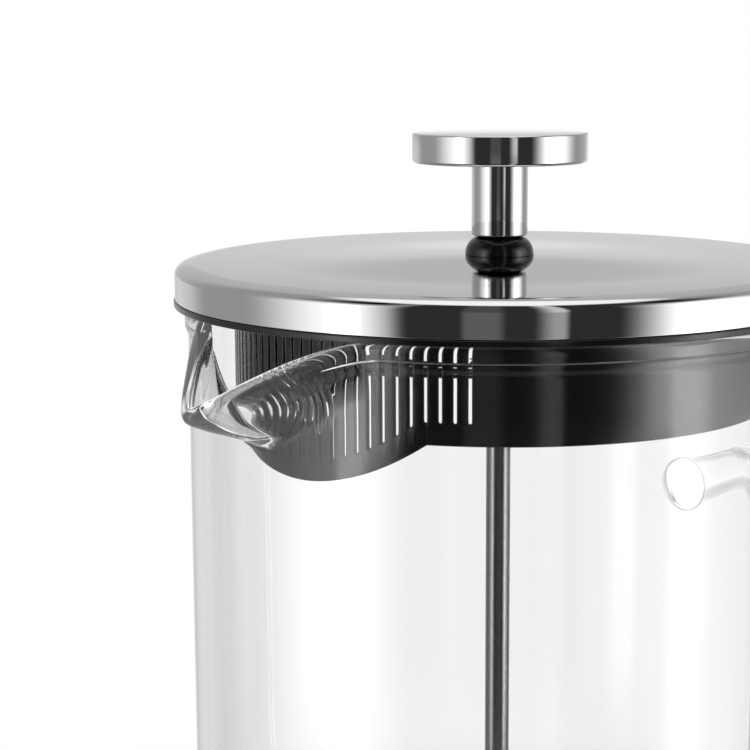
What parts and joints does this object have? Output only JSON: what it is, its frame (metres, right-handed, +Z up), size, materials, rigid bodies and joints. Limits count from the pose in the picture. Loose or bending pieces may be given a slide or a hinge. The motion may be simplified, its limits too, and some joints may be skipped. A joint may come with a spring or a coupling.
{
  "type": "french press",
  "caption": "Cylindrical glass jug with a pulled spout and looped glass handle, a flat steel lid over a slotted strainer, and a rod plunger with a disc knob and mesh filter.",
  "frame": {"origin": "centre of the jug's base, on the surface that it stands on", "axes": "+Z up along the plunger rod, -X towards the spout, +X towards the handle"},
  "size_m": [0.1518, 0.1044, 0.1967],
  "materials": {
    "clear_glass": "clear, fire polished",
    "polished_steel": "mirror polished",
    "bright_steel": "bright, pressed and deburred",
    "rod_steel": "drawn and centreless ground",
    "spring_steel": "bright drawn wire",
    "woven_steel": "fine plain weave",
    "black_plastic": "satin moulded"
  },
  "bodies": {
    "jug": {"beaker": "clear_glass", "glass_handle": "clear_glass"},
    "lid_guide": {"guide_bush": "black_plastic", "bush_washer": "bright_steel", "bush_nut": "black_plastic"},
    "lid": {"lid_cap": "polished_steel", "lid_insert": "black_plastic"},
    "rod": {"plunger_rod": "rod_steel"},
    "plunger": {"knob_stem": "polished_steel", "knob_disc": "polished_steel", "filter_boss": "bright_steel", "boss_washer": "bright_steel", "spiral_plate": "bright_steel", "edge_spring": "spring_steel", "mesh_screen": "woven_steel", "screen_eyelet": "bright_steel", "cross_plate": "bright_steel", "hub_washer": "bright_steel", "hub_nut": "bright_steel"}
  },
  "joints": [
    {"name": "lid_lift", "type": "slide", "parent": "jug", "child": "lid_guide", "axis": [0, 0, 1], "range_m": [0, 0.19]},
    {"name": "lid_turn", "type": "hinge", "parent": "lid_guide", "child": "lid", "pos_m": [0, 0, 0.17], "axis": [0, 0, 1], "continuous": true},
    {"name": "plunger_slide", "type": "slide", "parent": "lid_guide", "child": "rod", "axis": [0, 0, 1], "range_m": [0, 0.134]},
    {"name": "plunger_turn", "type": "hinge", "parent": "rod", "child": "plunger", "pos_m": [0, 0, 0.17], "axis": [0, 0, 1], "continuous": true}
  ]
}
